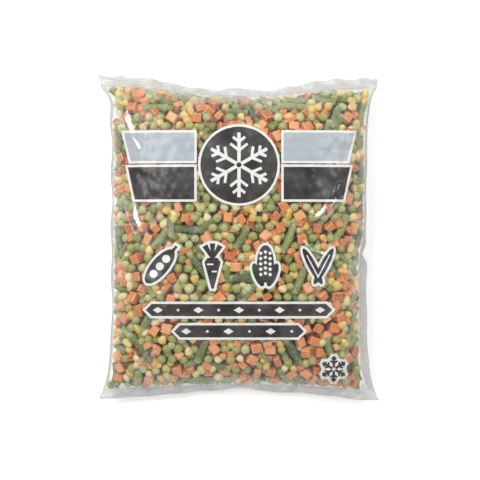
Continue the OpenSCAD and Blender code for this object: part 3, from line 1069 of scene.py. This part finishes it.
def pleat(x, y, root, inward, chance, reaches, lean, rises):
    """Share of the height of the highest pleat, along one that runs inwards from its root and leans."""
    reach = chance.uniform(*reaches) * MM
    aside = chance.uniform(-lean, lean) * reach
    tip = (root[0] + inward[0] * reach + abs(inward[1]) * aside,
           root[1] + inward[1] * reach + abs(inward[0]) * aside)
    ridge = along_line(x, y, root, tip, chance.uniform(*PLEAT_WIDTHS) * MM)
    return chance.uniform(*rises) * ridge


def creased(bag, x, y):
    """Heights of the creases of the front film, and shares from 0 to 1 of the height of its pleats."""
    chance = random.Random(21)
    ridges = np.zeros_like(x)
    height = np.zeros_like(x)
    for start, end, width, rise in CREASES:
        ridge = along_line(x, y, np.multiply(start, MM), np.multiply(end, MM), width * MM)
        ridges = np.maximum(ridges, rise * MM * ridge)
    number, spread, *form = END_PLEATS
    for end in (1, -1):
        for _ in range(number):
            u = chance.uniform(-spread, spread)
            root = (u * filled_width(bag, u, end), end * float(seal_line(bag, u, end)))
            height = np.maximum(height, pleat(x, y, root, (0, -end), chance, *form))
    number, spread, *form = SIDE_PLEATS
    for side in (1, -1):
        for _ in range(number):
            v = chance.uniform(-spread, spread) * bag.length / 2
            root = (side * float(filled_width(bag, side, v)), v)
            height = np.maximum(height, pleat(x, y, root, (-side, 0), chance, *form))
    return ridges, height


def room_under(spots, normals, pieces, reach):
    """Distance from each film point inwards to the nearest piece, at most a reach."""
    group = bmesh.new()
    for piece in pieces:
        group.from_mesh(piece.data)
    tree = BVHTree.FromBMesh(group)
    group.free()
    room = np.full(spots.shape[:2], reach)
    for place in np.ndindex(room.shape):
        normal = Vector(normals[place])
        start = Vector(spots[place]) + RAY_LIFT * normal
        _, _, _, far = tree.ray_cast(start, -normal, RAY_LIFT + reach)
        if far is not None:
            room[place] = far - RAY_LIFT
    return room


def lowest_near(room):
    """Least of each grid value and the eight round it."""
    rows, columns = room.shape
    wide = np.pad(room, 1, mode="edge")
    return np.min([wide[j:j + rows, i:i + columns] for j in range(3) for i in range(3)], axis=0)


def drawn_in(room, sag, steps):
    """How far a tight film sinks between the pieces that hold it up."""
    sink = np.zeros_like(room)
    for _ in range(steps):
        round_about = (sink[1:-1, :-2] + sink[1:-1, 2:] + sink[:-2, 1:-1] + sink[2:, 1:-1]) / 4
        sink[1:-1, 1:-1] = np.minimum(round_about + sag, room[1:-1, 1:-1])
    return sink


def film_haze(look, x, y, u, w, standoff):
    """Haze of the filled film: where it stands off the pieces, and in wisps next to the end seals."""
    wisps = 0.05 * ripple(x, y, 16 * MM, 61) + 0.03 * ripple(x, y, 6 * MM, 62)
    spread = np.where(w > 0, 0.35 + 0.65 * mid_share(u), 0.45)
    return look.gap_haze * standoff + look.wisp_haze * spread * ease((np.abs(w) - 0.93 + wisps) / 0.09)


def make_front_film(settings):
    """The front panel, drawn down over the vegetables, with its creases and pleats."""
    bag, film, look = settings.bag, settings.film, settings.look
    shape = grid_shape(film.columns, film.rows)
    bmesh.ops.triangulate(shape, faces=shape.faces[:], quad_method="ALTERNATE")
    piece = new_piece("front_film", shape)
    flat = points_of(piece.data).reshape(film.rows + 1, film.columns + 1, 3)
    x, y, u, w = film_plan(bag, film, flat[..., 0], flat[..., 1])
    full = fullness(u, w)
    filled = np.abs(u) < 1
    spots = np.stack([x, y, front_height(bag, full) + fold_waves(film, full, x, y)], axis=2)
    normals = grid_normals(spots)
    loose = [bpy.data.objects[f"{layer}_{kind}"] for layer in LAYERS for kind in KINDS]
    near = lowest_near(room_under(spots, normals, loose, 2 * film.reach))
    room = np.where(full < STEEP_FULL, lowest_near(near), near) - film.clearance
    sink = drawn_in(np.where(filled, np.minimum(room, film.reach), 0), film.sag, SETTLE_STEPS)
    standoff = np.clip((room - sink) / HAZE_GAP, 0, 1)
    ridges, pleats = creased(bag, x, y)
    taut = ease(ridges / TIGHT_RISE)
    sink *= 1 - 0.85 * taut
    lift = np.maximum(ridges, film.pleat * pleats) * ease(full / 0.12) - sink
    move_points(piece.data, spots + normals * lift[..., None])
    outermost = np.abs(flat[..., 0]) > 0.99
    flats = np.where(outermost, look.flat_haze + look.edge_haze, look.flat_haze)
    set_values(piece.data, "haze_and_painted_light", np.where(filled, film_haze(look, x, y, u, w, standoff), flats))
    set_values(piece.data, "crease", taut)
    thicken(piece, "film gauge", bag.gauge)
    material = film_material(look, "clear polyethylene film", look.veil)
    finish_piece(piece, material, "clear_film", "film_front")


def make_back_film(settings):
    """The two halves of the back panel and the lap weld between them."""
    bag, film, look = settings.bag, settings.film, settings.look
    lap = bag.lap_seal / 2
    parts = (
        ("back_film_left", "film_back_left", "clear_film", -2 * bag.width, -lap),
        ("back_film_right", "film_back_right", "clear_film", lap, 2 * bag.width),
        ("lap_weld", "back_lap_seal", "sealed_film", -lap, lap),
    )
    clear = bpy.data.materials["clear polyethylene film"]
    welded = film_material(look, "welded polyethylene film", look.weld)
    web = mesh_of("back web", grid_shape(film.columns, film.rows))
    flat = points_of(web)
    x, y, u, w = film_plan(bag, film, flat[:, 0], flat[:, 1])
    full = fullness(u, w)
    lift = fold_waves(film, full, x, y)
    # Along the side folds, where the two panels lie on each other, the back one is a little lower.
    under = np.where(np.abs(u) < 1, 0, 2 * bag.gauge)
    move_points(web, np.stack([x, y, back_height(bag, full) - bag.gauge / 2 + lift - under], axis=1))
    for name, node, slot, low, high in parts:
        shape = bmesh.new()
        shape.from_mesh(web)
        for place, way in ((low, -1), (high, 1)):
            cut_at(shape, (place, 0, 0), (way, 0, 0))
        bmesh.ops.reverse_faces(shape, faces=shape.faces[:])
        piece = new_piece(name, shape)
        rise = bag.fold_height - points_of(piece.data)[:, 2]
        folded = look.flat_haze * (1 - ease(rise / (0.5 * bag.fold_height)))
        set_values(piece.data, "haze_and_painted_light", folded + (look.weld_haze / 2 if slot == "sealed_film" else 0))
        thicken(piece, "film gauge", bag.gauge)
        finish_piece(piece, welded if slot == "sealed_film" else clear, slot, node)
    bpy.data.meshes.remove(web)


def make_end_seals(settings):
    """The crimped weld across each end, waved by the pull of the full bag."""
    bag, film, look = settings.bag, settings.film, settings.look
    rows = 4 * bag.ribs
    for name, node, end in (("top_weld", "top_end_seal", 1), ("bottom_weld", "bottom_end_seal", -1)):
        piece = new_piece(name, grid_shape(film.columns, rows))
        flat = points_of(piece.data).reshape(rows + 1, film.columns + 1, 3)
        run = bag.end_seal * (1 + end * flat[..., 1]) / 2
        x, y, u, _ = film_plan(bag, film, flat[..., 0], np.full_like(run, end))
        droop = bag.droop * end_share(u, end) * (1 + 0.35 * ripple(x, 0, 60 * MM, 31 + end))
        y = y + end * run * np.cos(droop) * (1 + 0.1 * ripple(x, 0, 28 * MM, 41 + end))
        x = plan_x(bag, film, flat[..., 0], y)
        far = run / bag.end_seal
        rib = bag.rib_height / 2 * np.sin(2 * np.pi * bag.ribs * far)
        wave = far * film.edge_wave * ripple(x, 0, 22 * MM, 51 + end)
        z = bag.fold_height + edge_lift(film, x, y) - run * np.sin(droop) + rib + wave
        move_points(piece.data, np.stack([x, y, z], axis=2))
        # The weld's haze is raised and lowered in streaks along it: painted light and shade of the wrinkles
        # in the weld.
        mottle = 0.25 * ripple(x, 2.5 * y, 15 * MM, 71 + end) + 0.12 * ripple(x, y, 5 * MM, 72 + end)
        cut_edge = np.where(far > 0.95, look.edge_haze, 0)
        set_values(piece.data, "haze_and_painted_light", look.weld_haze * (1 + mottle) + cut_edge)
        thicken(piece, "double film", 2 * bag.gauge)
        finish_piece(piece, bpy.data.materials["welded polyethylene film"], "sealed_film", node)


# Print

# Shapes of one ink that overlap lie this far apart, in this many steps.
HAIR = 0.002 * MM
HAIRS = 12
# Height of each ink over the film
GROUND_LIFT, INK_LIFT, DETAIL_LIFT = 0.07 * MM, 0.1 * MM, 0.13 * MM
# In millimetres: low edge, high edge and shortening of the upper and lower band, and the slant of
# their ends
BLUE_BAND, BLACK_BAND, BAND_SLANT = (76, 104, 0), (38, 70, 4), 7
# Gap from the roundel to the bands, and the size of its snowflake: share of its radius, and line width
BAND_GAP = 6 * MM
FLAKE_SHARE, FLAKE_LINE = 0.84, 3.4 * MM
# Small snowflake in the corner: its place, radius and line width
CORNER_FLAKE = ((94 * MM, -130 * MM), 13 * MM, 2.4 * MM)
# In millimetres: place and reach of each ribbon, and their height
RIBBONS, RIBBON_HEIGHT = ((-71, 92), (-92, 64)), 12


def circle(centre, radius, stretch=1.0, turn=0.0, sides=28):
    """Corners of a circle, or of an ellipse that is stretched along a turn."""
    corners = []
    for k in range(sides):
        angle = 2 * math.pi * k / sides
        x, y = radius * stretch * math.cos(angle), radius * math.sin(angle)
        corners.append((
            centre[0] + x * math.cos(turn) - y * math.sin(turn),
            centre[1] + x * math.sin(turn) + y * math.cos(turn),
        ))
    return corners


def bar(start, end, width, far_width=None):
    """Corners of a bar from start to end, which may taper."""
    way = Vector(end) - Vector(start)
    side = Vector((-way.y, way.x)).normalized()
    near, far = side * width / 2, side * (width if far_width is None else far_width) / 2
    return [tuple(Vector(p) + s) for p, s in ((start, -near), (end, -far), (end, far), (start, near))]


def film_near(corners, grow):
    """Copy of the front film round some corners."""
    spots = np.array(corners)
    margin = grow + 4 * MM
    low = spots.min(axis=0) - margin
    high = spots.max(axis=0) + margin
    shape = bmesh.new()
    shape.from_mesh(bpy.data.objects["front_film"].data)
    far = []
    for face in shape.faces:
        x, y, _ = face.verts[0].co
        if not (low[0] < x < high[0] and low[1] < y < high[1]):
            far.append(face)
    bmesh.ops.delete(shape, geom=far, context="FACES")
    return shape


def cut_to(shape, corners, grow):
    """Cuts film to a convex outline whose corners go round anticlockwise, grown by a width."""
    for a, b in zip(corners, corners[1:] + corners[:1]):
        way = Vector(b) - Vector(a)
        out = Vector((way.y, -way.x, 0)).normalized()
        cut_at(shape, Vector((*a, 0)) + out * grow, out)


def print_on_film(name, groups, grow, lift, material):
    """One ink's groups of shapes, laid on the front film. Shapes that overlap lie a hair apart."""
    ink = bmesh.new()
    for group in groups:
        region = film_near([corner for corners in group for corner in corners], grow)
        for number, corners in enumerate(group):
            shape = region.copy()
            cut_to(shape, corners, grow)
            shape.normal_update()
            for vert in shape.verts:
                vert.co += vert.normal * (lift + HAIR * (number % HAIRS))
            mesh = mesh_of("shape of ink", shape)
            ink.from_mesh(mesh)
            bpy.data.meshes.remove(mesh)
        region.free()
    piece = new_piece(name, ink)
    finish_piece(piece, material, "clear_film")


def snowflake(centre, radius, width):
    """Six arms, each with two pairs of twigs."""
    bars = []
    for arm in range(6):
        angle = math.radians(30 + 60 * arm)
        way = Vector((math.cos(angle), math.sin(angle)))
        bars.append(bar(Vector(centre) + way * width * 0.7, Vector(centre) + way * radius, width))
        for place, reach in ((0.45, 0.34), (0.72, 0.24)):
            root = Vector(centre) + way * radius * place
            for turn in (-1, 1):
                twig = angle + turn * math.radians(52)
                tip = root + Vector((math.cos(twig), math.sin(twig))) * radius * reach
                bars.append(bar(root, tip, width * 0.8))
    return bars


def pod_icon(x, y, h):
    """Pea pod: a leaning hull, with the round peas that lie in it."""
    lean = math.radians(50)
    way = Vector((math.cos(lean), math.sin(lean)))
    hull = [circle((x, y), 0.2 * h, 2.5, lean)]
    hull.append(bar(Vector((x, y)) + way * 0.44 * h, Vector((x, y)) + way * 0.62 * h, 0.07 * h))
    peas = [circle(tuple(Vector((x, y)) + way * k * 0.23 * h), 0.095 * h) for k in (-1, 0, 1)]
    return hull, peas


def carrot_icon(x, y, h):
    """Carrot: a tapered root under three leaves, with short lines across it."""
    root = [(x - 0.03 * h, y - 0.52 * h), (x + 0.03 * h, y - 0.52 * h), (x + 0.19 * h, y + 0.1 * h),
            (x + 0.12 * h, y + 0.2 * h), (x - 0.12 * h, y + 0.2 * h), (x - 0.19 * h, y + 0.1 * h)]
    shapes = [root]
    for turn in (-32, 0, 32):
        angle = math.radians(90 + turn)
        tip = (x + 0.34 * h * math.cos(angle), y + 0.2 * h + 0.34 * h * math.sin(angle))
        shapes.append(bar((x, y + 0.18 * h), tip, 0.06 * h, 0.13 * h))
    lines = [bar((x - 0.13 * h, y + 0.05 * h), (x + 0.02 * h, y + 0.05 * h), 0.035 * h),
             bar((x - 0.02 * h, y - 0.12 * h), (x + 0.1 * h, y - 0.12 * h), 0.035 * h)]
    return shapes, lines


def cob_icon(x, y, h):
    """Corn cob between two husks, with rows of kernels."""
    shapes = [circle((x, y + 0.06 * h), 0.2 * h, 2.2, math.pi / 2)]
    for side in (-1, 1):
        shapes.append(circle((x + side * 0.17 * h, y - 0.2 * h), 0.1 * h, 2.9, math.radians(90 - side * 22)))
    kernels = []
    for row in range(5):
        for column in (-1, 0, 1):
            spot = (x + column * 0.11 * h, y + 0.34 * h - row * 0.125 * h - 0.03 * h * abs(column))
            kernels.append(circle(spot, 0.04 * h, sides=10))
    return shapes, kernels


def bean_icon(x, y, h):
    """Two crossed bean pods, each with a thin seam."""
    shapes = []
    lines = []
    for side in (-1, 1):
        lean = math.radians(90 - side * 28)
        way = Vector((math.cos(lean), math.sin(lean)))
        spot = Vector((x + side * 0.13 * h, y))
        shapes.append(circle(tuple(spot), 0.095 * h, 5, lean))
        lines.append(bar(spot - way * 0.3 * h, spot + way * 0.3 * h, 0.03 * h))
    return shapes, lines


def ribbon_of_diamonds(y, reach, height):
    """A ribbon with pointed ends, and the row of diamonds on it."""
    half = height / 2
    body = [(-reach, y), (half - reach, y - half), (reach - half, y - half),
            (reach, y), (reach - half, y + half), (half - reach, y + half)]
    last = int(2 * (reach - height) / (1.5 * height))
    marks = []
    for k in range(last + 1):
        x = (reach - height) * (2 * k / last - 1)
        wide, tall = (0.42 * height, 0.26 * height) if k % 2 == 0 else (0.14 * height, 0.14 * height)
        marks.append([(x - wide, y), (x, y - tall), (x + wide, y), (x, y + tall)])
    return [body], marks


def make_print(settings):
    """A plain print: a snowflake roundel between bands, vegetable icons, ribbons and a snowflake."""
    inks = settings.inks
    centre = (0, inks.roundel_y)
    black = [[circle(centre, inks.roundel, sides=40)]]
    blue = []
    detail = [snowflake(centre, FLAKE_SHARE * inks.roundel, FLAKE_LINE)]
    near = inks.roundel + BAND_GAP
    slant = BAND_SLANT * MM
    for side in (-1, 1):
        for groups, band in ((blue, BLUE_BAND), (black, BLACK_BAND)):
            low, high, shift = (part * MM for part in band)
            far = inks.band_reach - shift
            corners = [(near, low), (far - slant, low), (far, high), (near, high)]
            # The mirrored outline is reversed, so that it goes round anticlockwise too.
            groups.append([[(side * x, y) for x, y in corners[::side]]])
    for icon, place in ((pod_icon, -78), (carrot_icon, -26), (cob_icon, 26), (bean_icon, 78)):
        shapes, lines = icon(place * MM, inks.icons_y, inks.icon)
        black.append(shapes)
        detail.append(lines)
    for place, reach in RIBBONS:
        ribbon, marks = ribbon_of_diamonds(place * MM, reach * MM, RIBBON_HEIGHT * MM)
        black.append(ribbon)
        detail.append(marks)
    black.append(snowflake(*CORNER_FLAKE))
    white_ink = ink_material("white printing ink", inks.white, wear=0)
    print_on_film("print_white_ground", black + blue, inks.outline, GROUND_LIFT, white_ink)
    black_ink = ink_material("black printing ink", inks.black, wear=0.12)
    print_on_film("print_black", black, 0, INK_LIFT, black_ink)
    blue_ink = ink_material("blue-grey printing ink", inks.blue, wear=0.2)
    print_on_film("print_blue", blue, 0, INK_LIFT, blue_ink)
    print_on_film("print_white_detail", detail, 0, DETAIL_LIFT, white_ink)


# Stage

# Half the width of the floor, and how far it lies below the bag
FLOOR_REACH = 6
FLOOR_DEPTH = 0.2 * MM
# Width of the camera's sensor in millimetres, and the point of the bag that it looks down on
SENSOR = 36
AIM = (1 * MM, -2 * MM)


def make_floor(stage):
    """White floor that the bag lies on."""
    floor = new_piece("floor", grid_shape(1, 1))
    move_points(floor.data, points_of(floor.data) * FLOOR_REACH - (0, 0, FLOOR_DEPTH))
    # Matt white board: it glows for the rays that see it, so it is white and still keeps the shadow.
    material, tree = new_material("matt white board")
    seen = 0
    for name in ("Is Camera Ray", "Is Glossy Ray", "Is Transmission Ray"):
        ray = add_node(tree, "LightPath", name)
        seen = add_node(tree, "Math", 0, {0: seen, 1: ray}, operation="MAXIMUM")
    glow = add_node(tree, "Math", 0, {0: seen, 1: stage.glow}, operation="MULTIPLY")
    board = add_node(tree, "BsdfDiffuse", "BSDF", {"Color": tuple(stage.floor)})
    light = add_node(tree, "Emission", "Emission", {"Strength": glow})
    both = add_node(tree, "AddShader", 0, {0: board, 1: light})
    add_node(tree, "OutputMaterial", inputs={"Surface": both})
    floor.data.materials.append(material)


def light_room(stage):
    """Even light from all round."""
    # Pale walls round a darker ceiling, so that the film mirrors little straight up.
    world = bpy.data.worlds.new("even studio light")
    world.use_nodes = True
    tree = world.node_tree
    tree.nodes.clear()
    way = add_node(tree, "TexCoord", "Generated")
    rise = add_node(tree, "SeparateXYZ", "Z", {"Vector": way})
    level = add_node(tree, "MapRange", "Result", {
        "Value": rise, "From Min": 0.5, "From Max": 0.95, "To Min": stage.sky, "To Max": stage.zenith
    })
    sky = add_node(tree, "Background", 0, {"Color": (1, 1, 1, 1), "Strength": level})
    add_node(tree, "OutputWorld", inputs={"Surface": sky})
    bpy.context.scene.world = world


def hang_lamps(stage):
    """Soft lamps that face the middle of the bag."""
    # Each lamp: its power, its place, and its size across and along in metres
    lamps = (
        ("key lamp", stage.key_power, (-0.66, 1.08, 1.05), 0.6, 0.6),
        ("right strip lamp", stage.right_power, (0.91, 0.53, 1.05), 0.3, 0.7),
        ("left lamp", stage.left_power, (-0.74, 0.32, 1.26), 0.34, 0.34),
        ("front lamp", stage.front_power, (0.2, -1.1, 1.1), 0.7, 0.5),
    )
    for name, watts, place, across, along in lamps:
        data = bpy.data.lights.new(name, "AREA")
        data.energy = watts
        data.shape = "RECTANGLE"
        data.size = across
        data.size_y = along
        lamp = bpy.data.objects.new(name, data)
        lamp.location = place
        lamp.rotation_euler = (-Vector(place)).to_track_quat("-Z", "Y").to_euler()
        bpy.context.scene.collection.objects.link(lamp)


def make_stage(stage, bag):
    """Floor, light and a camera that looks straight down."""
    make_floor(stage)
    light_room(stage)
    hang_lamps(stage)
    scene = bpy.context.scene
    scene.view_settings.view_transform = "Standard"
    data = bpy.data.cameras.new("camera")
    data.sensor_width = SENSOR
    data.lens = SENSOR * (stage.distance - bag.fold_height) / stage.view_width
    camera = bpy.data.objects.new("camera", data)
    camera.location = (*AIM, stage.distance)
    scene.collection.objects.link(camera)
    scene.camera = camera


# Operators, panel and run

class FROZENBAG_OT_peas(bpy.types.Operator):
    """Makes the peas of every layer"""
    bl_idname = "frozenbag.peas"
    bl_label = "Peas"

    def execute(self, context):
        make_vegetables("peas", context.scene.frozenbag)
        return {"FINISHED"}


class FROZENBAG_OT_carrots(bpy.types.Operator):
    """Makes the carrot dice of every layer"""
    bl_idname = "frozenbag.carrots"
    bl_label = "Carrot dice"

    def execute(self, context):
        make_vegetables("carrots", context.scene.frozenbag)
        return {"FINISHED"}


class FROZENBAG_OT_corn(bpy.types.Operator):
    """Makes the sweetcorn kernels of every layer"""
    bl_idname = "frozenbag.corn"
    bl_label = "Sweetcorn"

    def execute(self, context):
        make_vegetables("corn", context.scene.frozenbag)
        return {"FINISHED"}


class FROZENBAG_OT_beans(bpy.types.Operator):
    """Makes the green bean cuts of every layer"""
    bl_idname = "frozenbag.beans"
    bl_label = "Green beans"

    def execute(self, context):
        make_vegetables("beans", context.scene.frozenbag)
        return {"FINISHED"}


class FROZENBAG_OT_front_film(bpy.types.Operator):
    """Makes the front film over the vegetables"""
    bl_idname = "frozenbag.front_film"
    bl_label = "Front film"

    def execute(self, context):
        make_front_film(context.scene.frozenbag)
        return {"FINISHED"}


class FROZENBAG_OT_back_film(bpy.types.Operator):
    """Makes the back film and its lap weld"""
    bl_idname = "frozenbag.back_film"
    bl_label = "Back film"

    def execute(self, context):
        make_back_film(context.scene.frozenbag)
        return {"FINISHED"}


class FROZENBAG_OT_end_seals(bpy.types.Operator):
    """Makes the welds across the top and bottom ends"""
    bl_idname = "frozenbag.end_seals"
    bl_label = "End seals"

    def execute(self, context):
        make_end_seals(context.scene.frozenbag)
        return {"FINISHED"}


class FROZENBAG_OT_print(bpy.types.Operator):
    """Makes the print on the front film"""
    bl_idname = "frozenbag.print"
    bl_label = "Print"

    def execute(self, context):
        make_print(context.scene.frozenbag)
        return {"FINISHED"}


class FROZENBAG_OT_stage(bpy.types.Operator):
    """Makes the floor, the lamps and the camera"""
    bl_idname = "frozenbag.stage"
    bl_label = "Stage"

    def execute(self, context):
        make_stage(context.scene.frozenbag.stage, context.scene.frozenbag.bag)
        return {"FINISHED"}


OPERATORS = (
    FROZENBAG_OT_stage, FROZENBAG_OT_peas, FROZENBAG_OT_carrots, FROZENBAG_OT_corn, FROZENBAG_OT_beans,
    FROZENBAG_OT_front_film, FROZENBAG_OT_back_film, FROZENBAG_OT_end_seals, FROZENBAG_OT_print,
)


class FROZENBAG_PT_panel(bpy.types.Panel):
    """Lists the steps that make the bag"""
    bl_label = "Frozen vegetable bag"
    bl_idname = "FROZENBAG_PT_panel"
    bl_space_type = "VIEW_3D"
    bl_region_type = "UI"
    bl_category = "Frozen bag"

    def draw(self, context):
        for operator in OPERATORS:
            self.layout.operator(operator.bl_idname)


CLASSES = (
    BagSizes, FilmForm, FilmLook, FoodColours, FillForm, PrintForm, StageForm, BagSettings,
    *OPERATORS, FROZENBAG_PT_panel,
)


def register():
    for item in CLASSES:
        bpy.utils.register_class(item)
    bpy.types.Scene.frozenbag = PointerProperty(type=BagSettings)


def unregister():
    del bpy.types.Scene.frozenbag
    for item in reversed(CLASSES):
        bpy.utils.unregister_class(item)


def main():
    register()
    steps = bpy.ops.frozenbag
    steps.stage()
    steps.peas()
    steps.carrots()
    steps.corn()
    steps.beans()
    steps.front_film()
    steps.back_film()
    steps.end_seals()
    steps.print()


if __name__ == "__main__":
    main()
